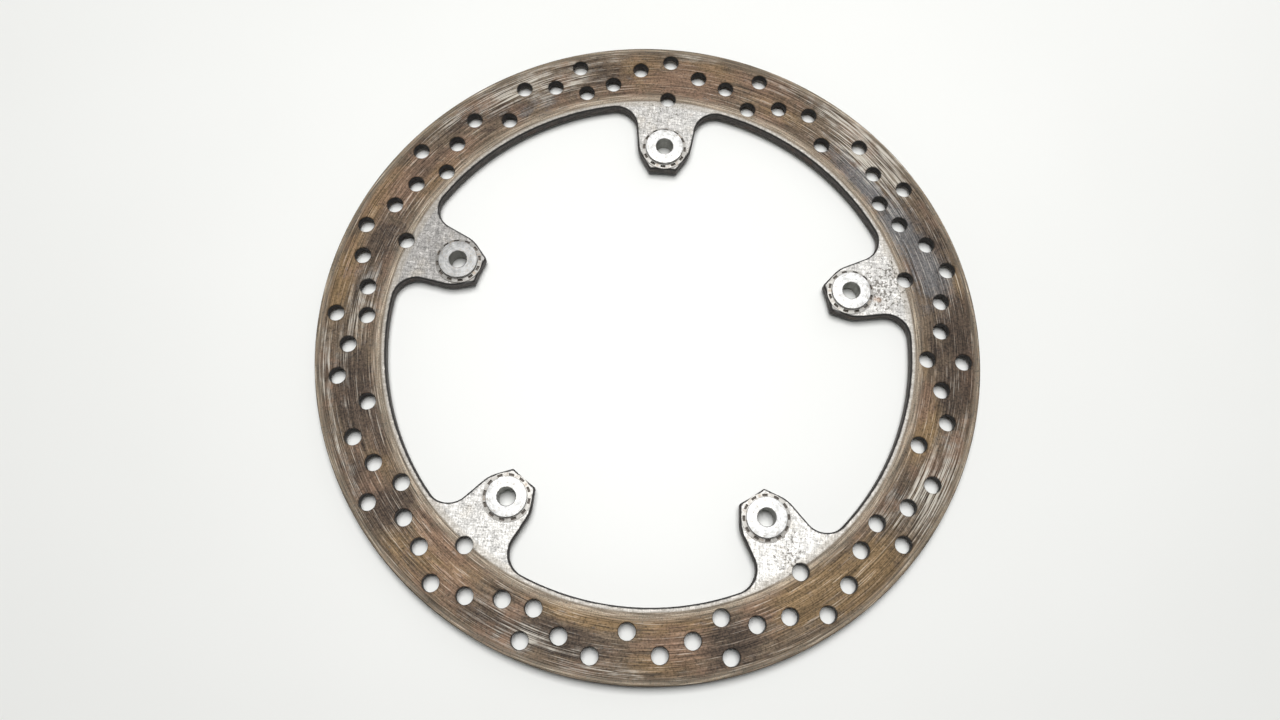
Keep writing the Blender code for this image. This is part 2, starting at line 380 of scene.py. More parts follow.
def slab(name, corners, faces, low, high, slots=None):
    """A closed solid between two heights at each corner, with a wall on every open edge.

    slots gives the material slot of each face; the walls take the slot after the highest.
    """
    used = np.unique(np.concatenate([np.ravel(face) for face in faces]))
    renumber = np.full(len(corners), -1)
    renumber[used] = np.arange(len(used))
    faces = [tuple(int(renumber[corner]) for corner in face) for face in faces]
    count = len(used)
    below = np.column_stack([corners[used], low[used]])
    above = np.column_stack([corners[used], high[used]])
    sides = {(face[k - 1], face[k]) for face in faces for k in range(len(face))}
    walls = sorted((a, b) for a, b in sides if (b, a) not in sides)
    upper = [tuple(corner + count for corner in face) for face in faces]
    lower = [tuple(reversed(face)) for face in faces]
    wall_faces = [(a, b, b + count, a + count) for a, b in walls]
    mesh = bpy.data.meshes.new(name)
    mesh.from_pydata(np.vstack([below, above]).tolist(), [], lower + upper + wall_faces)
    if slots is not None:
        wall_slot = max(slots) + 1
        mesh.polygons.foreach_set("material_index", [*slots, *slots, *[wall_slot] * len(walls)])
    return mesh


def smooth(mesh):
    """Smooth shading between the sharp edges, and each point's own place kept for the materials."""
    mesh.shade_smooth()
    mesh.set_sharp_from_angle(angle=SHARP_ANGLE)
    places = np.zeros(3 * len(mesh.vertices))
    mesh.vertices.foreach_get("co", places)
    mesh.attributes.new("place", "FLOAT_VECTOR", "POINT").data.foreach_set("vector", places)
    return mesh


def paint(mesh, name, values):
    """A number at each corner of the mesh for a material to read."""
    layer = mesh.attributes.new(name, "FLOAT", "POINT")
    layer.data.foreach_set("value", np.asarray(values, dtype=np.float32))


def turned_mesh(name, profile):
    """A closed profile of (radius, height) points, anticlockwise, turned about Z."""
    count = len(profile)
    points, faces = [], []
    for side in range(TURNED_SIDES):
        angle = math.tau * side / TURNED_SIDES
        here, there = side * count, (side + 1) % TURNED_SIDES * count
        for k, (radius, height) in enumerate(profile):
            after = (k + 1) % count
            points.append((radius * math.cos(angle), radius * math.sin(angle), height))
            faces.append((here + k, there + k, there + after, here + after))
    mesh = bpy.data.meshes.new(name)
    mesh.from_pydata(points, [], faces)
    return smooth(mesh)


# ---------------------------------------------------------------- friction ring

# How fast a mark fades away from its middle
MARK_FADE = 0.7

# Marks on the pad track: angle in degrees, distance out and half-widths in degrees and metres,
# and how strong the mark is.  Soot is burnt pad dust, the bluish patches are painted reflection
# of darker things, gold is the thinnest glaze, ruddy glaze has rust in it and the scoured places
# have been scratched bright.
SOOT = (
    (24, 0.152, 6, 0.006, 0.8),
    (30, 0.147, 4, 0.004, 0.5),
    (5, 0.151, 8, 0.010, 0.9),
    (-5, 0.148, 6, 0.008, 1.0),
    (1, 0.139, 6, 0.006, 0.6),
    (-28, 0.137, 6, 0.004, 0.5),
    (49, 0.135, 7, 0.004, 0.4),
    (64, 0.146, 4, 0.004, 0.4),
    (78, 0.138, 4, 0.005, 0.3),
    (-71, 0.147, 5, 0.014, 0.8),
    (-102, 0.147, 9, 0.008, 0.9),
    (-106, 0.140, 6, 0.004, 0.5),
    (-116, 0.150, 5, 0.006, 0.7),
    (-141, 0.146, 4, 0.011, 0.9),
    (-150, 0.150, 5, 0.008, 0.6),
    (-164, 0.143, 10, 0.010, 0.9),
    (-160, 0.136, 9, 0.005, 0.9),
    (-177, 0.148, 6, 0.005, 0.5),
    (-196, 0.139, 6, 0.008, 0.8),
    (-202, 0.147, 5, 0.005, 0.4),
    (-215, 0.144, 5, 0.007, 0.4),
    (-227, 0.150, 5, 0.006, 0.6),
    (-233, 0.142, 6, 0.007, 0.6),
    (-246, 0.140, 4, 0.004, 0.6),
    (-257, 0.145, 5, 0.008, 0.7),
)
# Painted reflection: bluish grey patches where the glaze mirrors darker things
BLUE_REFLECTION = (
    (42, 0.137, 9, 0.006, 0.9),
    (30, 0.139, 8, 0.008, 0.9),
    (20, 0.143, 8, 0.010, 0.9),
    (-187, 0.139, 5, 0.006, 0.5),
    (-240, 0.139, 8, 0.005, 0.4),
)
GOLD = (
    (82, 0.148, 7, 0.009, 0.7),
    (66, 0.142, 7, 0.008, 0.5),
    (16, 0.155, 5, 0.003, 0.7),
    (-14, 0.138, 7, 0.005, 1.0),
    (-2, 0.133, 6, 0.003, 0.6),
    (-45, 0.148, 9, 0.012, 0.9),
    (-55, 0.141, 9, 0.010, 1.0),
    (-64, 0.136, 6, 0.004, 0.6),
    (-83, 0.150, 6, 0.006, 0.8),
    (-80, 0.136, 8, 0.005, 0.9),
    (-97, 0.134, 10, 0.004, 1.0),
    (-118, 0.153, 5, 0.004, 0.4),
    (-127, 0.143, 8, 0.010, 0.8),
    (-135, 0.151, 5, 0.006, 0.6),
    (-149, 0.140, 5, 0.007, 0.6),
    (-187, 0.152, 8, 0.005, 1.0),
    (-205, 0.152, 7, 0.005, 0.9),
    (-215, 0.137, 9, 0.005, 0.6),
    (-264, 0.145, 8, 0.010, 0.7),
)
RUDDY = (
    (86, 0.141, 10, 0.010, 0.9),
    (74, 0.150, 6, 0.006, 0.6),
    (-9, 0.134, 5, 0.005, 0.9),
    (-66, 0.139, 4, 0.009, 0.7),
    (-80, 0.144, 6, 0.010, 0.8),
    (-122, 0.147, 6, 0.008, 0.7),
    (-129, 0.136, 7, 0.006, 0.8),
    (-146, 0.148, 5, 0.009, 0.8),
    (-156, 0.138, 5, 0.005, 0.6),
    (-190, 0.148, 6, 0.006, 0.5),
    (-208, 0.146, 7, 0.009, 0.8),
    (-222, 0.139, 6, 0.006, 0.7),
    (-259, 0.138, 8, 0.006, 0.6),
)
SCOURED = (
    (86, 0.156, 5, 0.002, 0.6),
    (65, 0.155, 8, 0.003, 0.5),
    (52, 0.154, 8, 0.004, 1.0),
    (45, 0.150, 9, 0.008, 1.0),
    (38, 0.145, 6, 0.004, 0.6),
    (-24, 0.152, 9, 0.005, 0.8),
    (-27, 0.145, 8, 0.005, 0.7),
    (-33, 0.137, 5, 0.004, 0.4),
    (-93, 0.155, 8, 0.003, 0.5),
    (-107, 0.149, 10, 0.005, 0.5),
    (-114, 0.144, 5, 0.004, 0.4),
    (-155, 0.154, 12, 0.003, 0.4),
    (-169, 0.155, 8, 0.003, 0.6),
    (-172, 0.147, 7, 0.004, 0.4),
    (-183, 0.141, 7, 0.006, 0.6),
    (-226, 0.154, 8, 0.003, 0.5),
    (-238, 0.151, 9, 0.006, 0.8),
    (-247, 0.145, 8, 0.006, 0.6),
    (-252, 0.154, 8, 0.003, 0.5),
)
TRACK_MARKS = {
    "soot": SOOT,
    "blue_reflection": BLUE_REFLECTION,
    "gold": GOLD,
    "ruddy": RUDDY,
    "scoured": SCOURED,
}
# How pale each lug's bare steel, its bush and its spring ring are, from 0 to 1, lug 1 first.
# The bushes' and spring rings' tones are painted reflection, each copy darker or paler as it
# looks under the light; the bare steel's tone is partly its own and partly painted reflection
LUG_TONE_AND_REFLECTION = (0.29, 0.06, 0.42, 0.57, 0.39)
BUSH_REFLECTION_TONE = (1.00, 0.42, 0.95, 1.00, 1.00)
SPRING_REFLECTION_TONE = (0.55, 0.10, 1.00, 0.90, 0.65)
# Marks on the lugs: the lug's number, how far across it and how far out from the disc's axis,
# half-size and strength
LUG_RUST = (
    (1, 0.013, 0.122, 0.004, 0.8),
    (1, -0.011, 0.104, 0.004, 0.6),
    (1, -0.004, 0.116, 0.006, 0.3),
    (2, 0.013, 0.121, 0.003, 0.9),
    (2, 0.006, 0.116, 0.006, 0.3),
    (4, -0.012, 0.126, 0.004, 0.3),
    (5, 0.006, 0.1135, 0.004, 0.9),
    (5, -0.010, 0.106, 0.003, 0.4),
    (5, 0.013, 0.124, 0.004, 0.6),
)
LUG_PITS = (
    (4, 0.001, 0.122, 0.006, 1.0),
    (4, -0.005, 0.114, 0.005, 0.7),
    (5, 0.003, 0.118, 0.011, 1.0),
    (5, -0.005, 0.124, 0.007, 0.9),
    (1, 0.000, 0.120, 0.012, 0.4),
    (3, 0.000, 0.118, 0.010, 0.2),
)


def track_marks(points, marks):
    """How strongly the marks of one kind cover each point, from 0 to 1."""
    radius = np.hypot(points[:, 0], points[:, 1])
    angle = np.degrees(np.arctan2(points[:, 1], points[:, 0]))
    cover = np.zeros(len(points))
    for at_angle, at_radius, half_length, half_width, strength in marks:
        away = (angle - at_angle + 180.0) % 360.0 - 180.0
        spread = (away / half_length) ** 2 + ((radius - at_radius) / half_width) ** 2
        cover = np.maximum(cover, strength * np.exp(-MARK_FADE * spread))
    return cover


def lug_marks(points, marks):
    """How strongly the marks on the lugs cover each point, from 0 to 1."""
    cover = np.zeros(len(points))
    for lug, across, out, half_size, strength in marks:
        x, y = turned([(across, out)], (lug - 1) * LUG_PITCH)[0]
        spread = np.hypot(points[:, 0] - x, points[:, 1] - y) / half_size
        cover = np.maximum(cover, strength * np.exp(-MARK_FADE * spread**2))
    return cover


def lug_tone(points):
    """How pale the bare steel is at each point, partly as painted reflection, blended from each lug
    to the next.
    """
    turns = (np.arctan2(points[:, 1], points[:, 0]) - LUG_ONE_ANGLE) / LUG_PITCH
    knots = np.arange(LUG_COUNT + 1)
    return np.interp(turns % LUG_COUNT, knots, [*LUG_TONE_AND_REFLECTION, LUG_TONE_AND_REFLECTION[0]])


def disc_holes():
    """Each hole through the ring: its middle, radius, number of sides and chamfer."""
    vents = [(centre, VENT_RADIUS, VENT_SIDES, VENT_CHAMFER) for centre in vent_centres()]
    bores = [(bush_place(lug), BORE_RADIUS, TURNED_SIDES, EDGE_CHAMFER) for lug in range(LUG_COUNT)]
    return vents + bores


def paint_points(edge, holes):
    """A grid over the ring that keeps clear of its edges and holes, to carry the painted marks."""
    steps = np.arange(-DISC_RADIUS, DISC_RADIUS, PAINT_GRID)
    points = np.array([(x, y) for x in steps for y in steps])
    radius = np.hypot(points[:, 0], points[:, 1])
    clear = (radius < DISC_RADIUS - PAINT_GRID) & ~inside(points, edge)
    for bound, _ in FACE_STEPS:
        clear &= abs(radius - bound) > PAINT_MARGIN
    clear &= distance_to(points, edge) > PAINT_GRID
    for centre, hole_radius, _, chamfer in holes:
        clear &= distance_to(points, [centre]) > hole_radius + chamfer + PAINT_MARGIN
    return points[clear]


def face_depth(corners, holes, on_edge):
    """How far each corner of a face lies below the plane of the lugs' faces."""
    radius = np.hypot(corners[:, 0], corners[:, 1])
    depth = np.interp(radius, *zip(*FACE_STEPS))
    for centre, hole_radius, _, chamfer in holes:
        into = 1.0 - (distance_to(corners, [centre]) - hole_radius) / chamfer
        depth += chamfer * np.clip(into, 0.0, 1.0)
    return depth + EDGE_CHAMFER * on_edge


def friction_ring_mesh():
    """The drilled ring with its lugs: worn tracks, chamfered holes and edges, and painted marks."""
    edge = inner_outline()
    holes = disc_holes()
    loops = [edge, moved_right(edge, EDGE_CHAMFER)]
    loops += [circle(radius, RIM_SIDES) for radius, _ in FACE_STEPS]
    for centre, radius, sides, chamfer in holes:
        loops += [circle(radius, sides, centre), circle(radius + chamfer, sides, centre)]
    corners, faces, owner = triangles_between(loops, paint_points(edge, holes))

    def in_metal(middles):
        metal = ~inside(middles, edge) & (np.hypot(middles[:, 0], middles[:, 1]) < DISC_RADIUS)
        for centre, radius, sides, _ in holes:
            metal &= distance_to(middles, [centre]) > radius * math.cos(math.pi / sides)
        return metal

    faces = kept_faces(corners, faces, in_metal)
    depth = face_depth(corners, holes, owner == 0)
    middles = corners[faces].mean(axis=1)
    on_track = np.hypot(middles[:, 0], middles[:, 1]) > TRACK_INNER
    mesh = slab(
        "friction_ring",
        corners,
        faces,
        DISC_BACK + depth,
        DISC_FRONT - depth,
        np.where(on_track, 0, 1).tolist(),
    )
    smooth(mesh)
    places = np.array([vertex.co[:2] for vertex in mesh.vertices])
    for name, marks in TRACK_MARKS.items():
        paint(mesh, name, track_marks(places, marks))
    paint(mesh, "rust", lug_marks(places, LUG_RUST))
    paint(mesh, "pits", lug_marks(places, LUG_PITS))
    paint(mesh, "tone", lug_tone(places))
    paint(mesh, "from_bush", distance_to(places, [bush_place(lug) for lug in range(LUG_COUNT)]))
    paint(mesh, "from_edge", distance_to_line(places, edge))
    return mesh


# ---------------------------------------------------------------- parts on each lug


def flanged_bush_mesh():
    """The sleeve with its flange, bolt hole and circlip groove, and a relief turned in its face."""
    down, outwards, up, inwards = (math.tau * quarter / 4 for quarter in (-1, 0, 1, 2))
    small = (BUSH_ROUNDING, SMALL_CORNER_STEPS)
    large = (FLANGE_ROUNDING, FLANGE_CORNER_STEPS)
    flange = [
        *rounded((FLANGE_RADIUS, FLANGE_UNDERSIDE), outwards, up, *small),
        *rounded((FLANGE_RADIUS, BUSH_LENGTH), up, inwards, *large),
    ]
    relief = [
        (RELIEF_RADIUS, BUSH_LENGTH),
        (RELIEF_RADIUS - RELIEF_DEPTH, BUSH_LENGTH - RELIEF_DEPTH),
        (BOLT_HOLE_RADIUS + FLANGE_ROUNDING, BUSH_LENGTH - RELIEF_DEPTH),
        (BOLT_HOLE_RADIUS, BUSH_LENGTH - RELIEF_DEPTH - FLANGE_ROUNDING),
    ]
    sleeve = [
        *rounded((BOLT_HOLE_RADIUS, 0.0), down, outwards, *small),
        *rounded((BUSH_RADIUS, 0.0), outwards, up, *small),
        (BUSH_RADIUS, GROOVE_LOW),
        (GROOVE_RADIUS, GROOVE_LOW),
        (GROOVE_RADIUS, GROOVE_HIGH),
        (BUSH_RADIUS, GROOVE_HIGH),
        (BUSH_RADIUS, FLANGE_UNDERSIDE),
    ]
    return turned_mesh("flanged_bush", sleeve + flange + relief)


def window_spring_mesh():
    """A dished ring with twelve windows.  Its rim lies on the lug, its bore meets the flange."""
    radii = [
        SPRING_INNER_RADIUS,
        (SPRING_INNER_RADIUS + WINDOW_INNER_RADIUS) / 2.0,
        WINDOW_INNER_RADIUS,
        WINDOW_OUTER_RADIUS,
        SPRING_OUTER_RADIUS,
    ]
    bar_span = math.tau / WINDOW_COUNT - WINDOW_SPAN
    angles, in_window = [], []
    for window in range(WINDOW_COUNT):
        start = math.tau * window / WINDOW_COUNT - WINDOW_SPAN / 2.0
        for span, base, open_here in ((WINDOW_SPAN, 0.0, True), (bar_span, WINDOW_SPAN, False)):
            angles += [start + base + span * step / WINDOW_STEPS for step in range(WINDOW_STEPS)]
            in_window += [open_here] * WINDOW_STEPS
    turns = len(angles)
    corners = np.array([(r * math.cos(a), r * math.sin(a)) for a in angles for r in radii])
    faces = []
    for turn in range(turns):
        here, there = turn * len(radii), (turn + 1) % turns * len(radii)
        for ring in range(len(radii) - 1):
            if not (in_window[turn] and radii[ring] == WINDOW_INNER_RADIUS):
                faces.append((here + ring, here + ring + 1, there + ring + 1, there + ring))
    out = np.hypot(corners[:, 0], corners[:, 1])
    width = SPRING_OUTER_RADIUS - SPRING_INNER_RADIUS
    low = SPRING_LOW + SPRING_RISE * (SPRING_OUTER_RADIUS - out) / width
    return smooth(slab("window_spring", corners, faces, low, low + SPRING_THICKNESS))


def thrust_washer_mesh():
    """The flat washer that bears on the lug's back face."""
    corners = [
        (SHIM_INNER_RADIUS, SHIM_LOW),
        (SHIM_OUTER_RADIUS, SHIM_LOW),
        (SHIM_OUTER_RADIUS, SHIM_HIGH),
        (SHIM_INNER_RADIUS, SHIM_HIGH),
    ]
    return turned_mesh("thrust_washer", softened(corners, CLIP_CHAMFER))


def retaining_clip_mesh():
    """The stamped open ring, with a hole for the pliers in each ear."""
    edge = circlip_outline()
    ear_middle = ((EAR_RADIUS + CIRCLIP_INNER_RADIUS) / 2.0, 0.0)
    ear_turn = CIRCLIP_HALF_OPENING + EAR_SPAN / 2.0
    ears = turned([ear_middle], ear_turn) + turned([ear_middle], -ear_turn)
    # Each edge is followed by the line where its chamfer ends
    loops = [edge, moved_right(edge, -CLIP_CHAMFER)]
    for ear in ears:
        loops.append(circle(EAR_HOLE_RADIUS, EAR_HOLE_SIDES, ear))
        loops.append(circle(EAR_HOLE_RADIUS + CLIP_CHAMFER, EAR_HOLE_SIDES, ear))
    corners, faces, owner = triangles_between(loops)

    def in_metal(middles):
        apothem = EAR_HOLE_RADIUS * math.cos(math.pi / EAR_HOLE_SIDES)
        return inside(middles, edge) & (distance_to(middles, ears) > apothem)

    faces = kept_faces(corners, faces, in_metal)
    on_edge = owner % 2 == 0
    depth = CLIP_CHAMFER * on_edge
    return smooth(
        slab("retaining_clip", corners, faces, CIRCLIP_LOW + depth, CIRCLIP_HIGH - depth)
    )


# ---------------------------------------------------------------- materials


# The numbers of the Mix node's sockets for colours
MIX_SHARE, MIX_FIRST, MIX_SECOND, MIX_RESULT = 0, 6, 7, 2


class Recipe:
    """Builds one material.  Each method adds a node and returns its output."""

    def __init__(self, name):
        self.material = bpy.data.materials.new(name)
        self.material.use_nodes = True
        self.tree = self.material.node_tree
        self.shader = self.tree.nodes["Principled BSDF"]

    def feed(self, socket, value):
        """Joins an output to a socket, or sets the socket to a plain value."""
        if isinstance(value, bpy.types.NodeSocket):
            self.tree.links.new(value, socket)
        else:
            socket.default_value = value

    def add(self, kind, inputs, output=0, **settings):
        """Adds a node of any kind and feeds its inputs, which go by name or number."""
        node = self.tree.nodes.new(kind)
        for name, value in settings.items():
            setattr(node, name, value)
        for key, value in inputs.items():
            self.feed(node.inputs[key], value)
        return node.outputs[output]

    def painted(self, name):
        """A number painted on the mesh."""
        return self.add("ShaderNodeAttribute", {}, "Fac", attribute_name=name)

    def place(self):
        """Where the point is in its own piece."""
        return self.add("ShaderNodeAttribute", {}, "Vector", attribute_name="place")

    def math(self, operation, first, second=0.0):
        """A sum, product or other operation on one or two numbers."""
        return self.add("ShaderNodeMath", {0: first, 1: second}, operation=operation)

    def average(self, first, second):
        """The number halfway between two."""
        return self.math("MULTIPLY", self.math("ADD", first, second), 0.5)

    def scaled(self, vector, factors):
        """The vector with each part times its own factor."""
        inputs = {0: vector, 1: factors}
        return self.add("ShaderNodeVectorMath", inputs, operation="MULTIPLY")

    def noise(self, vector, factors, detail, roughness):
        """Smooth noise around 0.5, whose grain along each axis is one over its factor."""
        inputs = {"Vector": self.scaled(vector, factors), "Scale": 1.0}
        inputs |= {"Detail": detail, "Roughness": roughness}
        return self.add("ShaderNodeTexNoise", inputs)

    def even_noise(self, vector, factor, detail, roughness):
        """Noise with the same grain along every axis."""
        return self.noise(vector, (factor, factor, factor), detail, roughness)

    def step(self, value, low, high):
        """0 below low, 1 above high and smooth in between, or the reverse if low is the greater."""
        inputs = {"Value": value, "From Min": low, "From Max": high}
        return self.add("ShaderNodeMapRange", inputs, interpolation_type="SMOOTHSTEP")

    def spread(self, value, low, high):
        """Maps 0 to low and 1 to high."""
        return self.add("ShaderNodeMapRange", {"Value": value, "To Min": low, "To Max": high})

    def mix(self, share, first, second, mode="MIX"):
        """The first colour where the share is 0, changing to the second where it is 1."""
        inputs = {MIX_SHARE: share, MIX_FIRST: first, MIX_SECOND: second}
        return self.add("ShaderNodeMix", inputs, MIX_RESULT, data_type="RGBA", blend_type=mode)

    def within(self, distance, fade):
        """1 up to the nearer end of a fade, 0 beyond its further end."""
        return self.step(distance, fade[1], fade[0])

    def beyond(self, distance, fade):
        """0 up to the nearer end of a fade, 1 beyond its further end."""
        return self.step(distance, fade[0], fade[1])

    def tinted(self, base, tint, share, most):
        """The base colour under a tint, which covers most of it where the share is 1."""
        return self.mix(self.math("MULTIPLY", share, most), base, tint)

    def shaded(self, base, amount):
        """The base colour times a number."""
        grey = self.add("ShaderNodeCombineColor", {0: amount, 1: amount, 2: amount})
        return self.mix(1.0, base, grey, "MULTIPLY")

    def polar(self, place):
        """A point as its direction from the Z axis, on a circle of radius 1, and its distance out.

        Noise read at such a point has no seam, and its grain can run in circles.
        """
        parts = self.tree.nodes.new("ShaderNodeSeparateXYZ")
        self.feed(parts.inputs[0], place)
        x, y = parts.outputs[0], parts.outputs[1]
        flat = self.add("ShaderNodeCombineXYZ", {0: x, 1: y})
        out = self.add("ShaderNodeVectorMath", {0: flat}, "Value", operation="LENGTH")
        around = {0: self.math("DIVIDE", x, out), 1: self.math("DIVIDE", y, out), 2: out}
        return self.add("ShaderNodeCombineXYZ", around), out

    def finish(self, base, roughness, metallic, height=None, bump=0.0):
        """Sets the surface.  bump is how many metres a height of 1 stands out."""
        self.feed(self.shader.inputs["Base Color"], base)
        self.feed(self.shader.inputs["Roughness"], roughness)
        self.feed(self.shader.inputs["Metallic"], metallic)
        if height is not None:
            inputs = {"Strength": 1.0, "Distance": bump, "Height": height}
            self.feed(self.shader.inputs["Normal"], self.add("ShaderNodeBump", inputs))
        return self.material


def colour(red, green, blue):
    """An opaque colour."""
    return (red, green, blue, 1.0)


# Where the disc's looks change: each fade begins and ends at these distances from its axis
TAN_CRUST = (0.1290, 0.1340)
CRUMBS_INSIDE = (0.1310, 0.1355)
CRUMBS_OUTSIDE = (0.1535, 0.1580)
PALE_RIM = (0.1555, 0.1588)
DULL_BAND = (0.1245, 0.1268)
RUBBED_BAND = (0.1278, 0.1287)
VENTS_INSIDE = (0.1282, 0.1292)
VENTS_OUTSIDE = (0.1582, 0.1592)
# Two circles are scored deeper, and each fades with the distance from its line
SCORED_LINES = (0.1292, 0.1580)
SCORED_LINE_FADE = (0.0001, 0.0005)
# The same from a bush's own axis, and from the edge of a lug, where the fade is ragged
HOLE_SHADE = (0.0043, 0.0046)
FLANGE_SHADE = (0.0090, 0.0095)
# Painted shade: the lug's face under each spring ring is darkened, so its windows read dark
SHADE_UNDER_SPRING = (0.0112, 0.0115)
DARK_EDGE = (0.0006, 0.0010)
EDGE_FRAY = 0.0004

GLAZE_DARK = colour(0.097, 0.071, 0.049)
GLAZE_PALE = colour(0.146, 0.109, 0.073)
GLAZE_CLOUD = colour(0.170, 0.110, 0.074)
GLAZE_BLOTCH = colour(0.082, 0.058, 0.041)
GLAZE_GOLD = colour(0.192, 0.125, 0.059)
GLAZE_RUDDY = colour(0.170, 0.106, 0.071)
# The colour of the painted bluish reflection
GLAZE_BLUE_REFLECTION = colour(0.134, 0.137, 0.142)
BURNT_DUST = colour(0.049, 0.035, 0.026)
TAN_DUST = colour(0.400, 0.340, 0.260)
PALE_DUST = colour(0.210, 0.178, 0.130)
CRUMB_BROWN = colour(0.074, 0.047, 0.030)
BARE_SCRATCH = colour(0.490, 0.460, 0.400)
SCORED_DARK = colour(0.085, 0.068, 0.054)
STEEL_DARK = colour(0.20, 0.192, 0.182)
STEEL_PALE = colour(0.88, 0.865, 0.83)
STEEL_STAIN = colour(0.36, 0.32, 0.26)
STEEL_DULL = colour(0.30, 0.265, 0.215)
STEEL_RUBBED = colour(0.18, 0.145, 0.105)
PIT_BROWN = colour(0.085, 0.075, 0.06)
RUST_BROWN = colour(0.25, 0.15, 0.09)
# The colour of the painted shade under the spring rings
SPRING_SHADE_DARK = colour(0.075, 0.064, 0.054)
EDGE_BLACK = colour(0.045, 0.042, 0.040)
SCALE_DARK = colour(0.042, 0.037, 0.034)
SCALE_PALE = colour(0.088, 0.077, 0.069)
SCALE_RUST = colour(0.12, 0.065, 0.035)
# The colour of the painted shade on the vents' walls
VENT_WALL_SHADE = colour(0.016, 0.013, 0.011)
TURNED_DARK = colour(0.12, 0.12, 0.118)
TURNED_PALE = colour(0.60, 0.60, 0.59)
TURNED_DIRT = colour(0.30, 0.26, 0.21)
TURNED_HOLE = colour(0.28, 0.28, 0.25)
TURNED_EDGE = colour(0.30, 0.29, 0.27)
SPRING_DARK = colour(0.46, 0.435, 0.40)
SPRING_PALE = colour(0.64, 0.625, 0.59)
SPRING_SPOT = colour(0.35, 0.26, 0.18)
GROUND_DARK = colour(0.42, 0.42, 0.41)
GROUND_PALE = colour(0.58, 0.58, 0.57)
GROUND_FILM = colour(0.26, 0.21, 0.16)
OXIDE_DARK = colour(0.030, 0.031, 0.034)
OXIDE_PALE = colour(0.060, 0.060, 0.063)
OXIDE_WORN = colour(0.24, 0.23, 0.22)
BENCH_DARK = colour(0.84, 0.845, 0.82)
BENCH_PALE = colour(0.88, 0.885, 0.862)


def pad_glaze():
    """The pad track: bronze glaze scored in circles, with its painted marks and crusted edges."""
    r = Recipe("pad_glaze")
    place = r.place()
    polar, out = r.polar(place)
    hairs = r.noise(polar, (8.0, 8.0, 2000.0), 2.0, 0.6)
    lines = r.noise(polar, (3.0, 3.0, 900.0), 3.0, 0.65)
    bands = r.noise(polar, (2.0, 2.0, 240.0), 3.0, 0.6)
    clouds = r.even_noise(place, 55.0, 5.0, 0.6)
    blotches = r.even_noise(place, 170.0, 4.0, 0.6)
    grit = r.even_noise(place, 1100.0, 2.0, 0.6)
    ragged = r.spread(r.average(lines, blotches), -1.1, 1.1)

    def cover(name):
        return r.step(r.math("ADD", r.painted(name), ragged), 0.15, 0.75)

    def scored_line(radius):
        off = r.math("ABSOLUTE", r.math("SUBTRACT", out, radius))
        return r.math("MULTIPLY", r.within(off, SCORED_LINE_FADE), 0.5)

    glaze = r.mix(r.step(bands, 0.36, 0.64), GLAZE_DARK, GLAZE_PALE)
    glaze = r.mix(r.step(clouds, 0.48, 0.62), glaze, GLAZE_CLOUD)
    glaze = r.mix(r.step(blotches, 0.54, 0.66), glaze, GLAZE_BLOTCH)
    glaze = r.tinted(glaze, GLAZE_GOLD, cover("gold"), 0.85)
    glaze = r.tinted(glaze, GLAZE_RUDDY, cover("ruddy"), 0.80)
    # Painted reflection: bluish grey patches on the glaze
    glaze = r.tinted(glaze, GLAZE_BLUE_REFLECTION, cover("blue_reflection"), 0.85)
    glaze = r.tinted(glaze, BURNT_DUST, cover("soot"), 0.90)
    glaze = r.tinted(glaze, TAN_DUST, r.within(out, TAN_CRUST), 0.78)
    glaze = r.tinted(glaze, PALE_DUST, r.beyond(out, PALE_RIM), 0.65)
    crusted = r.math("MAXIMUM", r.within(out, CRUMBS_INSIDE), r.beyond(out, CRUMBS_OUTSIDE))
    crumbs = r.math("MULTIPLY", r.step(grit, 0.50, 0.57), r.spread(crusted, 0.25, 0.60))
    glaze = r.mix(crumbs, glaze, CRUMB_BROWN)
    glaze = r.shaded(glaze, r.spread(hairs, -0.50, 2.50))
    glaze = r.shaded(glaze, r.spread(lines, 0.40, 1.60))
    glaze = r.shaded(glaze, r.spread(grit, -0.30, 2.30))
    scoured = r.math("MULTIPLY", cover("scoured"), 0.95)
    scratched = r.math("MULTIPLY", scoured, r.step(hairs, 0.43, 0.60))
    stray = r.math("MULTIPLY", r.step(hairs, 0.60, 0.72), 0.5)
    glaze = r.mix(r.math("MAXIMUM", scratched, stray), glaze, BARE_SCRATCH)
    scored = r.math("MAXIMUM", *[scored_line(radius) for radius in SCORED_LINES])
    glaze = r.mix(scored, glaze, SCORED_DARK)
    r.feed(r.shader.inputs["Specular IOR Level"], 0.2)
    return r.finish(glaze, r.spread(hairs, 0.56, 0.40), 0.35, height=hairs, bump=0.00005)


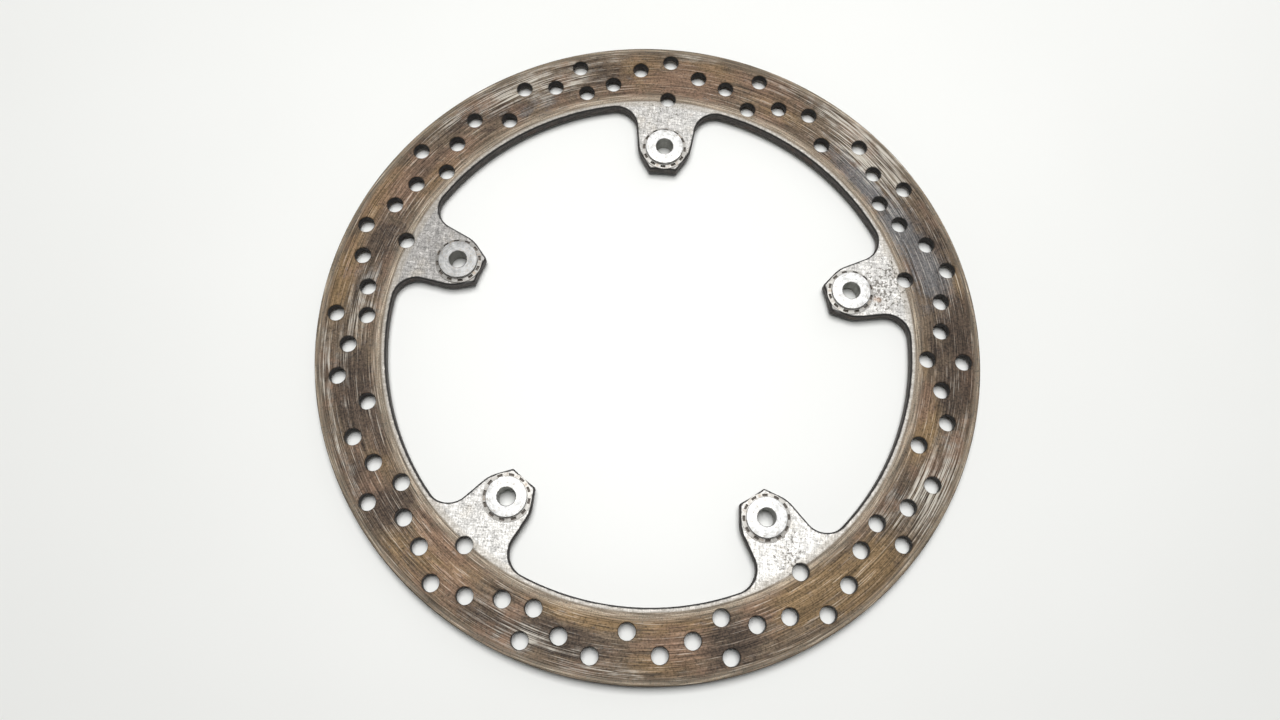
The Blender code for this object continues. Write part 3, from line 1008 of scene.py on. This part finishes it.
def blasted_steel():
    """The lugs and the unworn band: pale, finely mottled steel with pits, a little rust and painted
    shade under the spring rings.
    """
    r = Recipe("blasted_steel")
    place = r.place()
    _, out = r.polar(place)
    grain = r.even_noise(place, 1500.0, 2.0, 0.6)
    specks = r.even_noise(place, 680.0, 3.0, 0.65)
    mottle = r.even_noise(place, 400.0, 4.0, 0.65)
    stains = r.even_noise(place, 110.0, 4.0, 0.6)
    one_way = r.noise(place, (1500.0, 200.0, 200.0), 2.0, 0.5)
    other_way = r.noise(place, (200.0, 1500.0, 200.0), 2.0, 0.5)
    # Painted reflection in part: the tone also makes each lug darker or paler as it looks under the
    # light
    steel = r.mix(r.painted("tone"), STEEL_DARK, STEEL_PALE)
    steel = r.tinted(steel, STEEL_STAIN, r.step(stains, 0.50, 0.70), 0.35)
    steel = r.shaded(steel, r.spread(mottle, 0.60, 1.40))
    steel = r.shaded(steel, r.spread(grain, 0.00, 2.00))
    steel = r.shaded(steel, r.spread(r.average(one_way, other_way), -0.10, 2.10))
    steel = r.tinted(steel, STEEL_DULL, r.beyond(out, DULL_BAND), 0.45)
    pitted = r.math("ADD", r.spread(r.painted("pits"), -0.08, 0.10), specks)
    steel = r.tinted(steel, PIT_BROWN, r.step(pitted, 0.590, 0.630), 0.8)
    rusty = r.math("ADD", r.spread(r.painted("rust"), -0.35, 0.20), stains)
    steel = r.tinted(steel, RUST_BROWN, r.step(rusty, 0.50, 0.75), 0.7)
    steel = r.tinted(steel, STEEL_RUBBED, r.beyond(out, RUBBED_BAND), 0.55)
    # Painted shade under each spring ring, seen through its windows
    steel = r.mix(r.within(r.painted("from_bush"), SHADE_UNDER_SPRING), steel, SPRING_SHADE_DARK)
    frayed = r.math("ADD", r.painted("from_edge"), r.spread(mottle, -EDGE_FRAY, EDGE_FRAY))
    steel = r.mix(r.within(frayed, DARK_EDGE), steel, EDGE_BLACK)
    height = r.math("ADD", grain, r.math("MULTIPLY", mottle, 2.0))
    return r.finish(steel, r.spread(mottle, 0.60, 0.42), 0.6, height=height, bump=0.00006)


def cut_edge():
    """The cut walls: dark scale with fine upright strokes, rust, and painted shade on the vents'
    walls.
    """
    r = Recipe("cut_edge")
    place = r.place()
    _, out = r.polar(place)
    scale = r.noise(place, (260.0, 260.0, 900.0), 4.0, 0.6)
    strokes = r.noise(place, (1300.0, 1300.0, 130.0), 3.0, 0.6)
    patches = r.even_noise(place, 90.0, 4.0, 0.6)
    dark = r.mix(r.step(scale, 0.35, 0.65), SCALE_DARK, SCALE_PALE)
    dark = r.tinted(dark, SCALE_RUST, r.step(patches, 0.55, 0.72), 0.5)
    dark = r.shaded(dark, r.spread(strokes, 0.20, 1.80))
    # Painted shade: the walls of the vents are darkened
    in_vents = r.math("MULTIPLY", r.beyond(out, VENTS_INSIDE), r.within(out, VENTS_OUTSIDE))
    dark = r.tinted(dark, VENT_WALL_SHADE, in_vents, 0.7)
    height = r.average(scale, strokes)
    return r.finish(dark, r.spread(scale, 0.72, 0.52), 0.5, height=height, bump=0.00008)


def turned_steel():
    """The bushes: bright turned metal with fine rings, light scuffs and specks of dirt."""
    r = Recipe("turned_steel")
    place = r.place()
    polar, out = r.polar(place)
    rings = r.noise(polar, (2.0, 2.0, 4200.0), 3.0, 0.6)
    scuffs = r.even_noise(place, 420.0, 4.0, 0.6)
    specks = r.even_noise(place, 1300.0, 2.0, 0.5)
    # Painted reflection: the tone makes each bush darker or paler as it looks under the light
    steel = r.mix(r.painted("tone"), TURNED_DARK, TURNED_PALE)
    steel = r.shaded(steel, r.spread(scuffs, 0.00, 2.00))
    steel = r.shaded(steel, r.spread(rings, 0.20, 1.80))
    steel = r.tinted(steel, TURNED_DIRT, r.step(specks, 0.58, 0.66), 0.6)
    steel = r.tinted(steel, TURNED_HOLE, r.within(out, HOLE_SHADE), 0.65)
    steel = r.tinted(steel, TURNED_EDGE, r.beyond(out, FLANGE_SHADE), 0.5)
    height = r.average(rings, scuffs)
    return r.finish(steel, r.spread(scuffs, 0.40, 0.66), 0.75, height=height, bump=0.00003)


def spring_steel():
    """The spring rings: bright hard steel with faint rolling lines and brown spots."""
    r = Recipe("spring_steel")
    place = r.place()
    rolled = r.noise(place, (300.0, 2400.0, 2400.0), 3.0, 0.6)
    spots = r.even_noise(place, 500.0, 3.0, 0.6)
    steel = r.mix(r.step(rolled, 0.35, 0.65), SPRING_DARK, SPRING_PALE)
    # Painted reflection: the tone makes each spring ring darker or paler as it looks under the
    # light
    steel = r.shaded(steel, r.spread(r.painted("tone"), 0.50, 1.00))
    steel = r.tinted(steel, SPRING_SPOT, r.step(spots, 0.56, 0.68), 0.6)
    return r.finish(steel, r.spread(spots, 0.42, 0.60), 0.5, height=rolled, bump=0.00001)


def ground_steel():
    """The thrust washers: flat ground steel, with grinding marks one way."""
    r = Recipe("ground_steel")
    place = r.place()
    marks = r.noise(place, (180.0, 3200.0, 3200.0), 4.0, 0.6)
    film = r.even_noise(place, 260.0, 3.0, 0.6)
    steel = r.mix(r.step(marks, 0.35, 0.65), GROUND_DARK, GROUND_PALE)
    steel = r.tinted(steel, GROUND_FILM, r.step(film, 0.50, 0.72), 0.5)
    return r.finish(steel, r.spread(film, 0.34, 0.48), 0.9, height=marks, bump=0.000015)


def black_oxide():
    """The circlips: blackened spring steel, worn to grey in patches."""
    r = Recipe("black_oxide")
    place = r.place()
    skin = r.even_noise(place, 700.0, 4.0, 0.6)
    wear = r.even_noise(place, 210.0, 3.0, 0.6)
    black = r.mix(r.step(skin, 0.35, 0.65), OXIDE_DARK, OXIDE_PALE)
    black = r.tinted(black, OXIDE_WORN, r.step(wear, 0.55, 0.72), 0.5)
    return r.finish(black, r.spread(skin, 0.36, 0.52), 0.8, height=skin, bump=0.00002)


def bench_top():
    """The plain pale floor, very slightly uneven in tone."""
    r = Recipe("bench_top")
    where = r.add("ShaderNodeTexCoord", {}, "Object")
    tone = r.even_noise(where, 6.0, 2.0, 0.5)
    return r.finish(r.mix(tone, BENCH_DARK, BENCH_PALE), 0.45, 0.0)


# ---------------------------------------------------------------- placing


def place_piece(name, mesh, materials, body, node, at):
    """Puts a piece in the scene in place of its CAD node, riding on a body."""
    for material in materials:
        mesh.materials.append(material)
    piece = bpy.data.objects.new(name, mesh)
    bpy.context.scene.collection.objects.link(piece)
    piece.matrix_world = at
    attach(piece, body)
    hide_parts(node)
    return piece


def lug_frame(lug):
    """The frame on the axis of a lug's bush, whose X points away from the disc's axis."""
    turn = Matrix.Rotation(LUG_ONE_ANGLE + lug * LUG_PITCH, 4, "Z")
    return Matrix.Translation((*bush_place(lug), 0.0)) @ turn


def make_disc():
    """The friction ring, which keeps its glaze, its bare steel and its dark walls apart."""
    place_piece(
        "friction_ring",
        friction_ring_mesh(),
        [pad_glaze(), blasted_steel(), cut_edge()],
        "disc",
        "disc_ring",
        Matrix.Identity(4),
    )


def toned(mesh, tone):
    """The mesh painted with one tone."""
    paint(mesh, "tone", np.full(len(mesh.vertices), tone))
    return mesh


def make_lug_parts():
    """The four small parts on each lug."""
    bush_look, spring_look = turned_steel(), spring_steel()
    washer_look, clip_look = ground_steel(), black_oxide()
    for lug in range(LUG_COUNT):
        number = lug + 1
        bush_body, float_body = f"bush_{number}", f"float_{number}"
        # Each bush's and spring ring's tone is painted reflection
        bush = toned(flanged_bush_mesh(), BUSH_REFLECTION_TONE[lug])
        spring = toned(window_spring_mesh(), SPRING_REFLECTION_TONE[lug])
        washer, clip = thrust_washer_mesh(), retaining_clip_mesh()
        parts = (
            ("flanged_bush", bush, bush_look, bush_body, "bush", "bush_steel"),
            ("window_spring", spring, spring_look, "disc", "spring_ring", "spring_steel"),
            ("thrust_washer", washer, washer_look, float_body, "shim_washer", "shim_steel"),
            ("retaining_clip", clip, clip_look, bush_body, "circlip", "circlip_steel"),
        )
        at = lug_frame(lug)
        pieces = {
            name: place_piece(f"{name}_{number}", mesh, [look], body, f"{node}_{number}", at)
            for name, mesh, look, body, node, slot in parts
        }
        spring_piece = pieces["window_spring"]
        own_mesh(spring_piece)


# ---------------------------------------------------------------- stage

# The camera's place and lens follow from how the disc's own circles look in the photograph
CAMERA_PLACE = Vector((-0.0032, -0.1406, 0.4511))
CAMERA_AIM = Vector((-0.00378, -0.01175, DISC_FRONT))
CAMERA_ROLL = math.radians(4.3)
CAMERA_LENS = 27.15
SENSOR_WIDTH = 36.0
CLIP_NEAR = 0.01
CLIP_FAR = 20.0
# The air's light, and the height where it has faded to the overhead value: 0 is the horizon, 1 up
AIR_AT_HORIZON = 0.75
AIR_OVERHEAD = 0.07
AIR_FADE_TOP = 0.5
FLOOR_HALF_SIZE = 0.9
FLOOR_HEIGHT = -0.00005
# Each soft light: its name, place, the point it faces, the length of its sides and its power
SOFTBOXES = (
    ("overhead", (-0.02, 0.34, 1.5), (0.0, 0.05, 0.0), 0.85, 24.0),
    ("far_right", (0.7, 1.2, 1.1), (0.0, 0.0, 0.0), 0.9, 2.2),
)


def make_camera():
    """The photograph's view: from above the disc's near edge, looking down and away."""
    lens = bpy.data.cameras.new("camera")
    lens.sensor_width = SENSOR_WIDTH
    lens.lens = CAMERA_LENS
    lens.clip_start = CLIP_NEAR
    lens.clip_end = CLIP_FAR
    camera = bpy.data.objects.new("camera", lens)
    bpy.context.scene.collection.objects.link(camera)
    looking = (CAMERA_AIM - CAMERA_PLACE).to_track_quat("-Z", "Y").to_matrix().to_4x4()
    camera.matrix_world = (
        Matrix.Translation(CAMERA_PLACE) @ looking @ Matrix.Rotation(CAMERA_ROLL, 4, "Z")
    )
    bpy.context.scene.camera = camera


def make_floor():
    """A flat pale floor, a hair below the bushes' back faces so that no two planes coincide."""
    side = FLOOR_HALF_SIZE
    corners = [(-side, -side, 0.0), (side, -side, 0.0), (side, side, 0.0), (-side, side, 0.0)]
    mesh = bpy.data.meshes.new("floor")
    mesh.from_pydata(corners, [], [(0, 1, 2, 3)])
    mesh.materials.append(bench_top())
    floor = bpy.data.objects.new("floor", mesh)
    floor.location.z = FLOOR_HEIGHT
    bpy.context.scene.collection.objects.link(floor)


def make_softbox(name, place, aim, size, power):
    """A square soft white light at a place, facing a point."""
    lamp = bpy.data.lights.new(name, "AREA")
    lamp.size = size
    lamp.energy = power
    light = bpy.data.objects.new(name, lamp)
    light.location = place
    facing = (Vector(aim) - Vector(place)).to_track_quat("-Z", "Y")
    light.rotation_euler = facing.to_euler()
    bpy.context.scene.collection.objects.link(light)


def make_air():
    """Soft white light from all round, strongest near the horizon."""
    world = bpy.data.worlds.new("air")
    world.use_nodes = True
    nodes, links = world.node_tree.nodes, world.node_tree.links
    air = nodes["Background"]
    air.inputs["Color"].default_value = colour(1.0, 1.0, 1.0)
    height = nodes.new("ShaderNodeSeparateXYZ")
    links.new(nodes.new("ShaderNodeTexCoord").outputs["Generated"], height.inputs[0])
    fade = nodes.new("ShaderNodeMapRange")
    fade.inputs["From Max"].default_value = AIR_FADE_TOP
    fade.inputs["To Min"].default_value = AIR_AT_HORIZON
    fade.inputs["To Max"].default_value = AIR_OVERHEAD
    links.new(height.outputs[2], fade.inputs["Value"])
    links.new(fade.outputs[0], air.inputs["Strength"])
    bpy.context.scene.world = world


make_camera()
make_air()
for softbox in SOFTBOXES:
    make_softbox(*softbox)
make_floor()
make_disc()
make_lug_parts()
bpy.context.scene.view_settings.view_transform = "Standard"
